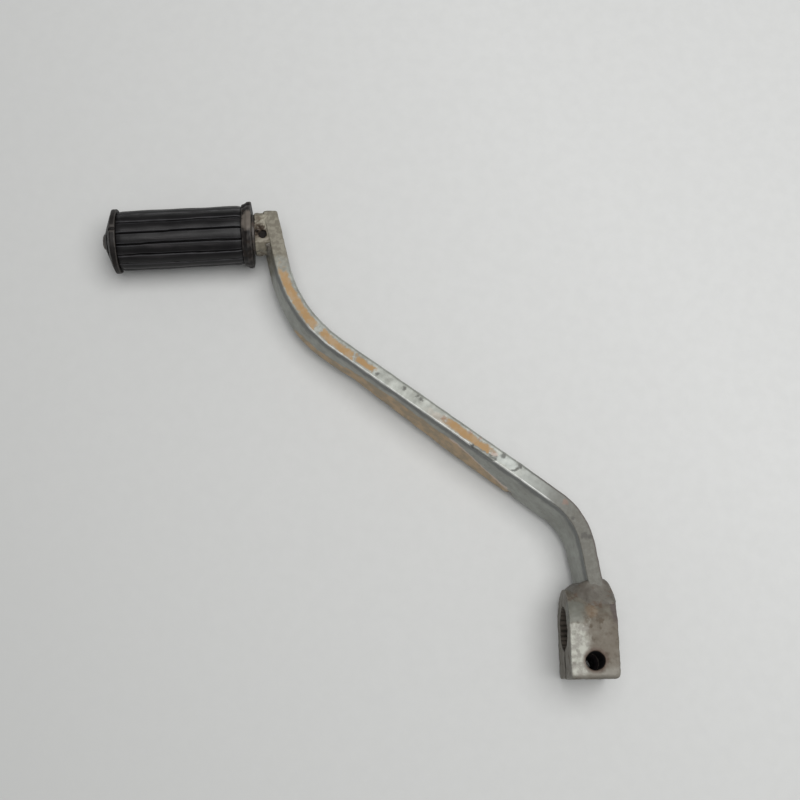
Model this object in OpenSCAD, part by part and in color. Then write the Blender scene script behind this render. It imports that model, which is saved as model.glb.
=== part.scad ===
// Foot gear-change lever: a bent steel bar, welded between a splined clamp
// boss and a stub that carries a turning rubber foot peg.
// The lever lies in the XY plane. The origin is the centre of the splined
// bore, +X runs along the bore towards the gearbox, and +Y runs up the lever.

/* [Clamp boss] */
// Width of the boss along the bore
boss_w = 16.9; // [14:0.1:24]
// Diameter of the boss round the bore
boss_d = 27.7; // [26:0.1:34]
// Distance from the bore's centre to the clamp's flat end
clamp_len = 18.2; // [17:0.1:24]
// Diameter of the bore at the tips of its teeth
bore_d = 14.2; // [12:0.1:16]
// Depth of the grooves between the teeth
spline_depth = 0.5; // [0.3:0.05:0.9]
// Number of teeth round the bore
spline_teeth = 24; // [20:1:30]
// Width of the clamp's slit
slit_w = 1.5; // [1:0.1:3]
// Distance from the bore's centre to the pinch bolt's hole
pinch_y = 12.05; // [11.5:0.05:15]
// Diameter of the clear hole in the front ear
pinch_clear_d = 6.5; // [6:0.1:7]
// Diameter of the tapped hole in the rear ear
pinch_tap_d = 5; // [4:0.1:5.5]

/* [Bar] */
// Place along the bore where the bar's middle line starts
bar_x = 4.9; // [2:0.1:6]
// Direction of the bar's first straight, anticlockwise from +X
bar_heading = 99.6; // [90:0.1:105]
// Length from the bore's axis to the lower bend
first_straight = 29.1; // [25:0.1:45]
// Turn at the lower bend
lower_bend = 43.9; // [35:0.1:50]
// Radius of the lower bend
lower_r = 26.1; // [20:0.1:40]
// Length between the two bends
middle_straight = 97.2; // [80:0.1:130]
// Turn back at the upper bend
upper_bend = 40.4; // [35:0.1:44]
// Radius of the upper bend
upper_r = 55.8; // [40:0.1:80]
// Length beyond the upper bend, before the end is cut square
last_straight = 26.6; // [20:0.1:40]
// Height along the lever at which the bar's end is cut
bar_end_y = 157; // [150:0.1:165]
// Width of the bar's front face
bar_t = 5.1; // [4:0.1:7]
// Depth of the bar at the boss
bar_root_depth = 18; // [16:0.1:20]
// Depth of the bar at its deepest, past the lower bend
bar_mid_depth = 20.5; // [17:0.1:22]
// Depth of the bar at the peg
bar_tip_depth = 11.8; // [10:0.1:14]
// How far the back edge of the inner side stands out past the front edge
bar_draft = 2.4; // [0:0.1:4]

/* [Peg] */
// Place of the stub's end along X
peg_x = -120.3; // [-135:0.1:-115]
// Place of the stub's end along Y
peg_y = 149.8; // [145:0.1:160]
// Slope of the peg's axis towards the boss
peg_splay = 3.4; // [0:0.1:6]
// Diameter of the stub
stub_d = 16.2; // [15:0.1:18]
// Thickness of the stub across its two flats
stub_flats = 12; // [11:0.1:14]
// Diameter of the rubber over its ribs
rubber_d = 22.8; // [22:0.1:26]
// Length of the rubber
rubber_len = 46.7; // [40:0.1:60]
// Number of ribs round the rubber
rib_count = 16; // [12:1:20]
// Turn of the first groove about the peg's axis
rib_phase = 16; // [0:0.5:30]
// Diameter of the inner end plate
plate_d = 25.3; // [25:0.1:30]
// Thickness of the inner end plate
plate_t = 3.7; // [2:0.1:5]
// Diameter of the outer end cap
cap_d = 24.8; // [23:0.1:28]
// Thickness of the outer end cap
cap_t = 4; // [2.5:0.1:5]
// Diameter of the spindle
spindle_d = 8; // [6:0.1:9]
// Diameter of the cross pin that holds the spindle in the stub
pin_d = 3.2; // [2.5:0.1:4]
// Turn of the cross pin about the peg's axis, its front end towards the boss
pin_turn = 21; // [0:1:45]

/* [Hidden] */
$fn = 64;

boss_r = boss_d / 2;
bore_r = bore_d / 2;
stub_r = stub_d / 2;
spindle_r = spindle_d / 2;
eps = 0.01;

// The bar's middle line is three straights joined by two arcs.
lower_arc = lower_r * lower_bend * PI / 180;
upper_arc = upper_r * upper_bend * PI / 180;
s1 = first_straight;
s2 = s1 + lower_arc;
s3 = s2 + middle_straight;
s4 = s3 + upper_arc;
s5 = s4 + last_straight;
arc_steps = 12;
stations = concat([0, s1 / 2], [for (i = [0 : arc_steps]) s1 + lower_arc * i / arc_steps],
                  [for (i = [1 : 5]) s2 + middle_straight * i / 6],
                  [for (i = [0 : arc_steps]) s3 + upper_arc * i / arc_steps],
                  [(s4 + s5) / 2, s5]);

function along(a) = [cos(a), sin(a)];
function leftward(a) = [-sin(a), cos(a)];
// Point at angle turn round an arc that starts at p with heading a.
function arc_point(p, a, r, turn) = p + sign(turn) * r * (leftward(a) - leftward(a + turn));

middle_heading = bar_heading + lower_bend;
last_heading = middle_heading - upper_bend;
p1 = [bar_x, 0] + s1 * along(bar_heading);
p2 = arc_point(p1, bar_heading, lower_r, lower_bend);
p3 = p2 + middle_straight * along(middle_heading);
p4 = arc_point(p3, middle_heading, upper_r, -upper_bend);

function bar_point(s) =
    s <= s1 ? [bar_x, 0] + s * along(bar_heading)
    : s <= s2 ? arc_point(p1, bar_heading, lower_r, lower_bend * (s - s1) / lower_arc)
    : s <= s3 ? p2 + (s - s2) * along(middle_heading)
    : s <= s4 ? arc_point(p3, middle_heading, upper_r, -upper_bend * (s - s3) / upper_arc)
    : p4 + (s - s4) * along(last_heading);
function bar_angle(s) =
    s <= s1 ? bar_heading
    : s <= s2 ? bar_heading + lower_bend * (s - s1) / lower_arc
    : s <= s3 ? middle_heading
    : s <= s4 ? middle_heading - upper_bend * (s - s3) / upper_arc
    : last_heading;
function bar_depth(s) = lookup(s, [[0, bar_root_depth], [s2 + 15, bar_mid_depth],
                                  [s3, 0.78 * bar_mid_depth], [s5, bar_tip_depth]]);
// The inner side stands up straighter ahead of the upper bend and leans out again in it.
function bar_lean(s) = lookup(s, [[s2 + 40, bar_draft], [s3 - 8, 0.5 * bar_draft],
                                 [s3 + 16, 1.15 * bar_draft], [s5, bar_draft]]);

// Outline of the bar at depth d and lean l: [distance to the left of the middle line, Z].
edge = 1.2;
function bar_outline(d, l) = [
    [bar_t / 2, d / 2], [-bar_t / 2 + edge, d / 2], [-bar_t / 2, d / 2 - edge],
    [-bar_t / 2, -d / 2 + edge], [-bar_t / 2 + edge, -d / 2],
    [bar_t / 2 + l - edge, -d / 2], [bar_t / 2 + l, -d / 2 + edge]];
outline_n = len(bar_outline(bar_mid_depth, bar_draft));
function bar_ring(s) = [for (q = bar_outline(bar_depth(s), bar_lean(s)))
    let (p = bar_point(s) + q[0] * leftward(bar_angle(s))) [p[0], p[1], q[1]]];

// Stretches of the peg, measured outwards from the stub's end.
gap = 0.1;
thrust_t = 0.8;
plate_at = thrust_t + 2 * gap;
rubber_at = plate_at + plate_t;
cap_at = rubber_at + rubber_len;
cap_end = cap_at + cap_t;
tube_end = cap_end - 1.6;
washer_at = cap_end + gap;
washer_t = 1.1;
washer_r = 6.4;
head_at = washer_at + washer_t;
head_h = 1.1;
head_r = 3.3;
tail_r = 2.5;
shoulder_at = tube_end - 0.3;
tube_r = 6.9;
bush_r = 5.5;
bush_len = 10;
running_gap = 0.05;
socket_depth = 6.5;
stub_root = 8;
pin_at = -2.9;
pin_recess = 2;

// Puts a shape that is drawn along +Z onto the peg's axis, pointing outwards.
module on_peg() {
    translate([peg_x, peg_y, 0]) rotate([0, 0, 180 + peg_splay]) rotate([0, 90, 0]) children();
}

// A ring between two radii, from one distance along the peg to another.
module peg_ring(outer_r, inner_r, from, to) {
    on_peg() difference() {
        translate([0, 0, from]) cylinder(r = outer_r, h = to - from);
        translate([0, 0, from - 1]) cylinder(r = inner_r, h = to - from + 2);
    }
}

module bar_solid() {
    rings = [for (s = stations) bar_ring(s)];
    last = len(rings) - 1;
    polyhedron(
        points = [for (ring = rings, p = ring) p],
        faces = concat(
            [[for (k = [0 : outline_n - 1]) outline_n - 1 - k]],
            [for (i = [0 : last - 1], k = [0 : outline_n - 1])
                let (m = (k + 1) % outline_n)
                each [[i * outline_n + k, i * outline_n + m, (i + 1) * outline_n + k],
                      [i * outline_n + m, (i + 1) * outline_n + m, (i + 1) * outline_n + k]]],
            [[for (k = [0 : outline_n - 1]) last * outline_n + k]]));
}

// Points on an arc about c, from one angle to another.
function arc_points(c, r, from, to, steps) =
    [for (i = [0 : steps]) c + r * along(from + (to - from) * i / steps)];

// Side outline of the boss, [Y, Z]: a half disc that runs on into a block. The rear ear is
// a little shorter than the front one, and its corner is rounder.
front_corner = 1.6;
rear_corner = 4;
rear_len = clamp_len - 1.3;
side_outline = concat(
    arc_points([0, 0], boss_r, -90, 90, 32),
    arc_points([front_corner - clamp_len, boss_r - front_corner], front_corner, 90, 180, 6),
    arc_points([rear_corner - rear_len, rear_corner - boss_r], rear_corner, 180, 270, 8));
module boss_envelope() {
    rotate([90, 0, 90]) linear_extrude(height = boss_w, center = true) polygon(side_outline);
}

module stub_solid() {
    intersection() {
        on_peg() translate([0, 0, -stub_root]) cylinder(r = stub_r, h = stub_root);
        translate([peg_x - 5, peg_y - stub_d, -stub_flats / 2]) cube([25, 2 * stub_d, stub_flats]);
    }
}

// Puts a shape that is drawn along +Z onto the cross pin's axis.
module on_pin() {
    on_peg() translate([0, 0, pin_at]) rotate([0, 0, -pin_turn]) rotate([0, 90, 0]) children();
}

module pin_hole() {
    on_pin() translate([0, 0, -stub_r]) cylinder(d = pin_d, h = stub_d);
}

module lever_arm() {
    color([0.56, 0.57, 0.53]) difference() {
        bar_solid();
        boss_envelope();
        stub_solid();
        translate([-150, bar_end_y, -20]) cube([60, 20, 40]);
    }
}

// Seen from the front, the two corners at the clamp's end are rounded as well.
plan_corner = 1.5;
plan_outline = concat(
    [[boss_w / 2, boss_r], [-boss_w / 2, boss_r]],
    arc_points([plan_corner - boss_w / 2, plan_corner - clamp_len], plan_corner, 180, 270, 6),
    arc_points([boss_w / 2 - plan_corner, plan_corner - clamp_len], plan_corner, 270, 360, 6));

// V grooves between the teeth; the one that would fall in the slit is left out.
groove_slope = 1.1;
module spline_grooves() {
    apex = bore_r + spline_depth;
    drop = spline_depth + 0.5;
    for (i = [1 : spline_teeth - 1])
        rotate([90, 0, 90]) rotate([0, 0, 180 + i * 360 / spline_teeth])
            linear_extrude(height = boss_w + 2, center = true) polygon([
                [apex, 0], [apex - drop, drop / groove_slope], [apex - drop, -drop / groove_slope]]);
}

module clamp_boss() {
    color([0.45, 0.42, 0.38]) difference() {
        intersection() {
            boss_envelope();
            linear_extrude(height = boss_d + 2, center = true) polygon(plan_outline);
        }
        translate([-boss_w, 0, 0]) rotate([0, 90, 0]) rotate([0, 0, 180 / spline_teeth])
            cylinder(r = bore_r, h = 2 * boss_w);
        spline_grooves();
        translate([-boss_w, -clamp_len - 1, -slit_w / 2]) cube([2 * boss_w, clamp_len + 1, slit_w]);
        translate([0, -pinch_y, 0]) cylinder(d = pinch_clear_d, h = boss_d);
        translate([0, -pinch_y, -boss_d]) cylinder(d = pinch_tap_d, h = boss_d);
    }
}

// A side bead runs round the boss along one side of the bar, fused into both.
bead_swing = 30;
module side_bead(x, r) {
    translate([x, 0, 0]) rotate([90, 0, 90]) rotate([0, 0, -bead_swing])
        rotate_extrude(angle = 2 * bead_swing) translate([boss_r + 0.5, 0]) circle(r = r);
}

// An end bead closes the weld over the bar's front or back face.
neck = bar_point(boss_r);
module end_bead(side, width) {
    translate([neck[0] - width / 2, 11.1, side * (bar_root_depth / 2 + 0.7)]) rotate([0, 90, 0])
        cylinder(r = 2.2, h = width);
}

module boss_weld_inner() {
    color([0.36, 0.33, 0.3]) side_bead(neck[0] - bar_t / 2 - 1.4, 2.8);
}

module boss_weld_outer() {
    color([0.36, 0.33, 0.3]) side_bead(neck[0] + bar_t / 2 + 0.3, 2.8);
}

module boss_weld_front() {
    color([0.36, 0.33, 0.3]) end_bead(1, bar_t);
}

module boss_weld_back() {
    color([0.36, 0.33, 0.3]) end_bead(-1, bar_t);
}

module peg_stub() {
    color([0.45, 0.43, 0.38]) difference() {
        stub_solid();
        on_peg() translate([0, 0, -socket_depth]) cylinder(r = spindle_r, h = socket_depth + 1);
        pin_hole();
    }
}

// Fillet weld under the stub where it runs into the bar; above, both end flush.
weld_leg = 2.2;
weld_depth = 11.2;
module stub_weld() {
    color([0.36, 0.33, 0.3]) difference() {
        on_peg() translate([0, 0, -7]) cylinder(r1 = stub_r + weld_leg, r2 = stub_r + 0.4, h = 3);
        on_peg() translate([0, 0, -stub_d]) cylinder(r = stub_r, h = 2 * stub_d);
        for (side = [-1, 1]) translate([peg_x, peg_y, side * (20 + weld_depth / 2)])
            cube([60, 60, 40], center = true);
        translate([peg_x - 30, peg_y, -20]) cube([60, 20, 40]);
    }
}

module peg_spindle() {
    color([0.5, 0.48, 0.45]) difference() {
        union() {
            on_peg() translate([0, 0, -socket_depth])
                cylinder(r = spindle_r, h = socket_depth + shoulder_at);
            on_peg() translate([0, 0, shoulder_at - 1])
                cylinder(r = tail_r, h = head_at - shoulder_at + 1 + eps);
            on_peg() translate([0, 0, head_at]) intersection() {
                translate([0, 0, head_h - head_r * 1.6]) sphere(r = head_r * 1.6);
                cylinder(r = head_r, h = head_h);
            }
        }
        pin_hole();
    }
}

module spindle_cross_pin() {
    color([0.22, 0.16, 0.13]) on_pin() translate([0, 0, -stub_flats / 2 + pin_recess])
        cylinder(d = pin_d, h = stub_flats - 2 * pin_recess);
}

// The washer carries the cap's cone on, up to the head.
module rivet_washer() {
    color([0.4, 0.38, 0.36]) on_peg() difference() {
        translate([0, 0, washer_at]) cylinder(r1 = washer_r, r2 = head_r + 0.3, h = washer_t);
        translate([0, 0, washer_at - 1]) cylinder(r = tail_r, h = washer_t + 2);
    }
}

module inner_thrust_washer() {
    color([0.5, 0.48, 0.44]) peg_ring(7.6, spindle_r + running_gap, gap, gap + thrust_t);
}

module inner_end_plate() {
    color([0.2, 0.18, 0.17]) on_peg() difference() {
        translate([0, 0, plate_at]) rotate_extrude() polygon([
            [tube_r, 0], [plate_d / 2, 0], [plate_d / 2, 1.8], [rubber_d / 2, plate_t],
            [tube_r, plate_t]]);
        translate([0, 0, plate_at - 1]) cylinder(r = tube_r, h = plate_t + 2);
    }
}

module grip_tube() {
    color([0.55, 0.55, 0.53]) peg_ring(tube_r, bush_r, plate_at, tube_end);
}

module inner_bush() {
    color([0.6, 0.45, 0.25])
        peg_ring(bush_r, spindle_r + running_gap, plate_at, plate_at + bush_len);
}

module outer_bush() {
    color([0.6, 0.45, 0.25])
        peg_ring(bush_r, spindle_r + running_gap, tube_end - bush_len, tube_end);
}

rib_groove_w = 1.5;
rib_groove_depth = 1.4;
module rubber_grip() {
    color([0.13, 0.13, 0.13]) on_peg() difference() {
        translate([0, 0, rubber_at]) cylinder(d = rubber_d, h = rubber_len);
        translate([0, 0, rubber_at - 1]) cylinder(r = tube_r, h = rubber_len + 2);
        for (i = [0 : rib_count - 1]) rotate([0, 0, rib_phase + i * 360 / rib_count])
            translate([rubber_d / 2 - rib_groove_depth, -rib_groove_w / 2, rubber_at - 1])
                cube([rib_groove_depth + 1, rib_groove_w, rubber_len + 2]);
    }
}

cap_bore_r = tail_r + 0.6;
cap_rim = 2;
module outer_end_cap() {
    color([0.17, 0.16, 0.15]) on_peg() difference() {
        translate([0, 0, cap_at]) rotate_extrude() polygon([
            [0, 0], [cap_d / 2, 0], [cap_d / 2, cap_rim], [washer_r + 0.3, cap_t], [0, cap_t]]);
        translate([0, 0, cap_at - 1]) cylinder(r = tube_r, h = tube_end - cap_at + 1);
        translate([0, 0, cap_at]) cylinder(r = cap_bore_r, h = cap_t + 1);
    }
}

lever_arm();
clamp_boss();
boss_weld_inner();
boss_weld_outer();
boss_weld_front();
boss_weld_back();
peg_stub();
stub_weld();
peg_spindle();
spindle_cross_pin();
rivet_washer();
inner_thrust_washer();
inner_end_plate();
grip_tube();
inner_bush();
outer_bush();
rubber_grip();
outer_end_cap();
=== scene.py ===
# %% [markdown]
# # A worn foot gear-change lever
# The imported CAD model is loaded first. It fixes where every piece sits, so nothing below has
# to be fitted by eye. Each visible piece is then rebuilt as a dense surface, because flaked
# plating, lumpy weld metal and hardened rubber need more shape than the CAD solids hold.

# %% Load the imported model
import math
import bpy
import numpy as np
from mathutils import Matrix, Vector


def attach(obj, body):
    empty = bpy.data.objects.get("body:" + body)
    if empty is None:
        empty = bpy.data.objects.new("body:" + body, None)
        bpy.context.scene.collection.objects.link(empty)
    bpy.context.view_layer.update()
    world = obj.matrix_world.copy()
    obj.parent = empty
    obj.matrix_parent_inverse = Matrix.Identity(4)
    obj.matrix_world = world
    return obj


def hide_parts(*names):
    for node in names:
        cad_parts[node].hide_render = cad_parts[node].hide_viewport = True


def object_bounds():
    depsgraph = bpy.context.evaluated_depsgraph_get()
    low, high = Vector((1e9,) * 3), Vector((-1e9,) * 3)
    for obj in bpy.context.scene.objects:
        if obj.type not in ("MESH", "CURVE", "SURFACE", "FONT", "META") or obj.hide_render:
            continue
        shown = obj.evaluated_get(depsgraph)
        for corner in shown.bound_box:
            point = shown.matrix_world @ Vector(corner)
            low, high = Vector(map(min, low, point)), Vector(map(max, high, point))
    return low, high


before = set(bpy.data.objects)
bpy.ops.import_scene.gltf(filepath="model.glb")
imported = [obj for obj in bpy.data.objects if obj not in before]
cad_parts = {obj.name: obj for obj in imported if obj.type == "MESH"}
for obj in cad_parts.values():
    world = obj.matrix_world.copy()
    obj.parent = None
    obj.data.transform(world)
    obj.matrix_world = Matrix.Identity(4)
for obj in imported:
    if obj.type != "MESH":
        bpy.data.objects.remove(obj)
cad_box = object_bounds()
MM = 0.001
print("CAD box in mm:", np.round(np.array(cad_box) / MM, 1).tolist())

# %% [markdown]
# ## Helpers for shapes
# A shape is a grid of points, worked out as whole arrays. Wrapping the grid round on itself
# makes a ring or a tube, and a capped tube is a closed solid.

# %% Turn a grid of points into a mesh
def new_piece(name, points, faces):
    """Makes an object at the origin from points in mm and faces as lists of point numbers."""
    mesh = bpy.data.meshes.new(name)
    mesh.from_pydata((points * MM).tolist(), [], faces)
    mesh.validate()
    mesh.shade_smooth()
    piece = bpy.data.objects.new(name, mesh)
    bpy.context.scene.collection.objects.link(piece)
    print(name, len(mesh.vertices), "points")
    return piece


def grid_faces(rows, cols, wrap_rows):
    """Quads between neighbouring rows and columns. Columns always wrap round."""
    row = np.arange(rows if wrap_rows else rows - 1)[:, None]
    col = np.arange(cols)[None, :]
    after, beside = (row + 1) % rows, (col + 1) % cols
    quads = np.stack([row * cols + col, row * cols + beside,
                      after * cols + beside, after * cols + col], axis=-1)
    return quads.reshape(-1, 4).tolist()


# %% Smooth random bumps
def waves(points, wavelength, seed, count=24):
    """A sum of sine waves in random directions, about 1 high, that stands for rough metal.

    Each wave is sin(k . p + phase), with its length within half of the one asked for.
    """
    rng = np.random.default_rng(seed)
    way = rng.normal(size=(count, 3))
    way /= np.linalg.norm(way, axis=1, keepdims=True)
    k = way * (2 * np.pi / (wavelength * rng.uniform(0.6, 1.5, count)))[:, None]
    return np.sin(points @ k.T + rng.uniform(0, 2 * np.pi, count)).sum(axis=-1) / math.sqrt(count / 2)


def smooth_step(x, low, high):
    """0 below low, 1 above high, and 3x^2 - 2x^3 between."""
    x = np.clip((x - low) / (high - low), 0, 1)
    return x * x * (3 - 2 * x)


# %% Read and write a mesh as arrays
def read_points(mesh):
    """The mesh's points in mm, as one array."""
    flat = np.empty(len(mesh.vertices) * 3)
    mesh.vertices.foreach_get("co", flat)
    return flat.reshape(-1, 3) / MM


def read_normals(mesh):
    """The mesh's point normals, as one array."""
    flat = np.empty(len(mesh.vertices) * 3)
    mesh.vertex_normals.foreach_get("vector", flat)
    return flat.reshape(-1, 3)


def write_points(mesh, points):
    """Puts points in mm back into the mesh."""
    mesh.vertices.foreach_set("co", (points * MM).ravel())
    mesh.update()


def neighbour_mean(mesh, values):
    """The mean of each point's neighbours along the mesh's edges."""
    ends = np.empty(len(mesh.edges) * 2, dtype=int)
    mesh.edges.foreach_get("vertices", ends)
    a, b = ends.reshape(-1, 2).T
    total, count = np.zeros_like(values), np.zeros(len(values))
    np.add.at(total, a, values[b])
    np.add.at(total, b, values[a])
    np.add.at(count, a, 1)
    np.add.at(count, b, 1)
    return total / (count if values.ndim == 1 else count[:, None])


def mark_edges(piece, rounds=4):
    """Stores how far each point stands out beyond its neighbours, as the attribute edge.

    It is the height of a point over its neighbours' mean, smoothed and scaled to about -1 to 1.
    """
    mesh = piece.data
    points = read_points(mesh)
    mean = points
    for _ in range(rounds):
        mean = neighbour_mean(mesh, mean)
    height = ((points - mean) * read_normals(mesh)).sum(axis=1)
    height = neighbour_mean(mesh, height)
    height /= max(np.percentile(np.abs(height), 97), 1e-6)
    layer = mesh.attributes.new("edge", "FLOAT", "POINT")
    layer.data.foreach_set("value", np.clip(height, -1.5, 1.5))


# %% [markdown]
# ## The lever bar
# The real bar is a steel strip on edge, bent twice in its own plane. Its edges are rounded by
# the rolls, and one side leans out a little towards the back. The surface is a seven-cornered
# section carried along three straights and two arcs, cut square at the far end.

# %% Middle line of the bar
BAR_START = np.array([4.9, 0.0])
HEADINGS = np.radians([99.6, 99.6, 143.5, 143.5, 103.1, 103.1])
LOWER_ARC = 26.1 * math.radians(43.9)
UPPER_ARC = 55.8 * math.radians(40.4)
KNOTS = np.cumsum([0, 29.1, LOWER_ARC, 97.2, UPPER_ARC, 26.6])
BAR_WIDTH = 5.1
BAR_END_Y = 157.0


def bar_line(s):
    """Points and headings of the middle line: the running sum of short steps along a heading
    that is constant on the straights and turns evenly on the arcs."""
    step = 0.05
    fine = np.arange(0, KNOTS[-1] + 8, step)
    turn = np.interp(fine, KNOTS, HEADINGS)
    x = BAR_START[0] + np.concatenate([[0], np.cumsum(np.cos(turn[:-1]) * step)])
    y = BAR_START[1] + np.concatenate([[0], np.cumsum(np.sin(turn[:-1]) * step)])
    return np.stack([np.interp(s, fine, x), np.interp(s, fine, y)], -1), np.interp(s, KNOTS, HEADINGS)


def bar_depth(s):
    return np.interp(s, [0, KNOTS[2] + 15, KNOTS[3], KNOTS[5]], [18, 20.5, 16, 11.8])


def bar_lean(s):
    return 2.4 * np.interp(s, [KNOTS[2] + 40, KNOTS[3] - 8, KNOTS[3] + 16, KNOTS[5]], [1, 0.5, 1.15, 1])


print("bar length", round(float(KNOTS[-1]), 1))

# %% Section of the bar
def bar_section(depth, lean, soft=0.4, edge=1.2):
    """Rounded section for every ring at once: [rings, points, (left, z)].

    Each corner C is the curve (1-t)^2 P + 2t(1-t) C + t^2 Q between points P and Q on its two
    edges, a length soft away. Straight points fill the long edges between the corners.
    """
    half, d, zero = BAR_WIDTH / 2, depth / 2, np.zeros_like(depth)
    corners = np.stack([
        np.stack([half + zero, d], -1), np.stack([0.6 - half + zero, d], -1),
        np.stack([-half + zero, d - 0.6], -1), np.stack([-half + zero, edge - d], -1),
        np.stack([edge - half + zero, -d], -1), np.stack([half + lean - edge, -d], -1),
        np.stack([half + lean, edge - d], -1)], axis=1)
    before, after = np.roll(corners, 1, axis=1), np.roll(corners, -1, axis=1)
    to_before, to_after = before - corners, after - corners
    to_before /= np.linalg.norm(to_before, axis=-1, keepdims=True)
    to_after /= np.linalg.norm(to_after, axis=-1, keepdims=True)
    t = np.linspace(0, 1, 6)[None, None, :, None]
    start, end = (corners + soft * to_before)[:, :, None], (corners + soft * to_after)[:, :, None]
    curve = (1 - t) ** 2 * start + 2 * t * (1 - t) * corners[:, :, None] + t ** 2 * end
    fill = [9, 1, 18, 1, 8, 1, 18]
    parts = []
    for k, count in enumerate(fill):
        parts.append(curve[:, k])
        f = (np.arange(1, count + 1) / (count + 1))[None, :, None]
        parts.append(curve[:, k, -1:] * (1 - f) + curve[:, (k + 1) % 7, :1] * f)
    return np.concatenate(parts, axis=1)


# %% Sweep the section and cut the end square
BAR_ROOT = 9.6     # inside the boss, clear of the bore
s_rings = np.arange(BAR_ROOT, KNOTS[-1], 0.55)
line, heading = bar_line(s_rings)
section = bar_section(bar_depth(s_rings), bar_lean(s_rings))
left = np.stack([-np.sin(heading), np.cos(heading)], -1)
plan = line[:, None] + section[..., :1] * left[:, None]
bar = np.concatenate([plan, section[..., 1:]], -1)
ahead = np.stack([np.cos(heading), np.sin(heading), 0 * heading], -1)[:, None]
beyond = np.maximum(bar[..., 1:2] - BAR_END_Y, 0)
keep_rings = int(np.argmax((bar[..., 1] > BAR_END_Y).all(axis=1))) + 1
bar = (bar - ahead * beyond / ahead[..., 1:2])[:keep_rings]
section, s_rings, ahead = section[:keep_rings], s_rings[:keep_rings], ahead[:keep_rings]
print("rings", keep_rings, "points round", bar.shape[1])

# %% Round off the cut end
def inward(ring, centre, by):
    """Moves a ring's points towards its centre by a length, limited near the centre."""
    off = ring - centre
    far = np.linalg.norm(off, axis=-1, keepdims=True)
    return centre + off * np.maximum(far - by, 0.02) / far


last = bar[-1]
middle = last.mean(axis=0)
turns = np.linspace(0, np.pi / 2, 5)[1:]
END_SOFT = 0.5
below_end = np.array([0, -END_SOFT, 0])
bar[-1] = last + below_end
bar[-2] += below_end
tip = [inward(last, middle, END_SOFT * (1 - math.cos(a))) - np.array([0, END_SOFT * (1 - math.sin(a)), 0])
       for a in turns]
tip += [inward(last, middle, by) for by in (1.2, 1.9)]
rings = np.concatenate([bar, np.stack(tip)])
extra = len(tip)
s_all = np.concatenate([s_rings, np.full(extra, s_rings[-1])])
section_all = np.concatenate([section, np.repeat(section[-1:], extra, axis=0)])
rows, cols = rings.shape[:2]
faces = grid_faces(rows, cols, False)
faces += [list(range(cols))[::-1], [(rows - 1) * cols + k for k in range(cols)]]
lever_bar = new_piece("lever_bar", rings.reshape(-1, 3), [face[::-1] for face in faces])

# %% Place on the bar, for its finishes: length along, distance from the inner edge, depth
half_depth = bar_depth(s_all)[:, None] / 2
place = np.stack([np.broadcast_to(s_all[:, None], (rows, cols)),
                  BAR_WIDTH / 2 - section_all[..., 0],
                  half_depth - section_all[..., 1]], -1).reshape(-1, 3)
layer = lever_bar.data.attributes.new("place", "FLOAT_VECTOR", "POINT")
layer.data.foreach_set("vector", place.ravel())

# %% Forge marks, nicks and the step where plating has peeled
# The faces of this mesh point inwards, a known fault. So a height above zero goes into the bar,
# and a nick stands out from it.
SWELL = 0.06
points, normals = read_points(lever_bar.data), read_normals(lever_bar.data)
rough = 0.045 * waves(points, 9, 1) + 0.018 * waves(points, 2.6, 2)
NICKS = [(80.5, 0.1, 0.5, 1.5, 0.28), (76.0, 0.2, 0.3, 1.3, 0.30), (83.6, 0.0, 0.4, 1.0, 0.25),
         (66.6, 4.3, 0.2, 0.9, 0.22), (116.8, 3.0, 0.0, 0.7, 0.12), (110.2, 3.5, 0.0, 0.7, 0.12),
         (32.2, 2.4, 0.0, 1.3, 0.12), (195.0, 4.6, 0.4, 1.2, 0.15), (186.5, 0.4, 0.2, 0.9, 0.15)]
for along, across, deep, size, push in NICKS:
    far = np.linalg.norm(place - np.array([along, across, deep]), axis=1)
    rough -= push * np.exp(-(far / size) ** 2)
peeled = smooth_step(place[:, 2] + 0.9 * waves(points, 6, 3), 8.2, 8.8) * (place[:, 1] < 1.0)
peeled *= smooth_step(place[:, 0], 64, 72) * (1 - smooth_step(place[:, 0], 158, 166))
rough -= 0.07 * peeled
drip = np.exp(-(np.linalg.norm(place[:, :2] - np.array([64.4, -2.2]), axis=1) / 0.8) ** 2)
rough += 1.0 * drip * smooth_step(place[:, 2], 17, 18.5)
write_points(lever_bar.data, points + normals * (rough - SWELL)[:, None])
print("bar relief in mm:", round(float(rough.min()), 2), "to", round(float(rough.max()), 2))

# %% [markdown]
# ## Boss, stub and weld metal
# These have holes, teeth and a slit, which a single grid can't hold. A merged copy of the CAD
# solid is remeshed into small even faces instead. Smoothing then rounds every edge a little,
# as wear has done, and the same random bumps roughen it. The weld round the bar's foot has no
# hole, so it is a grid again.

# %% Remesh a copy of CAD nodes
def fused_copy(name, nodes, voxel, smooth):
    """One even mesh over one or more CAD nodes, with edges rounded by averaging neighbours."""
    pieces = []
    for node in nodes:
        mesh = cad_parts[node].data.copy()
        piece = bpy.data.objects.new(name, mesh)
        bpy.context.scene.collection.objects.link(piece)
        pieces.append(piece)
    with bpy.context.temp_override(active_object=pieces[0], selected_editable_objects=pieces):
        if len(pieces) > 1:
            bpy.ops.object.join()
    piece = pieces[0]
    piece.name = name
    remesh = piece.modifiers.new("even", "REMESH")
    remesh.mode = "VOXEL"
    remesh.voxel_size = voxel * MM
    remesh.use_smooth_shade = True
    evaluated = piece.evaluated_get(bpy.context.evaluated_depsgraph_get())
    mesh = bpy.data.meshes.new_from_object(evaluated)
    piece.modifiers.clear()
    piece.data = mesh
    mesh.name = name
    mesh.materials.clear()
    points = read_points(mesh)
    for _ in range(smooth):
        points = 0.5 * points + 0.5 * neighbour_mean(mesh, points)
    write_points(mesh, points)
    mesh.shade_smooth()
    print(name, len(mesh.polygons), "faces")
    return piece


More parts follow.
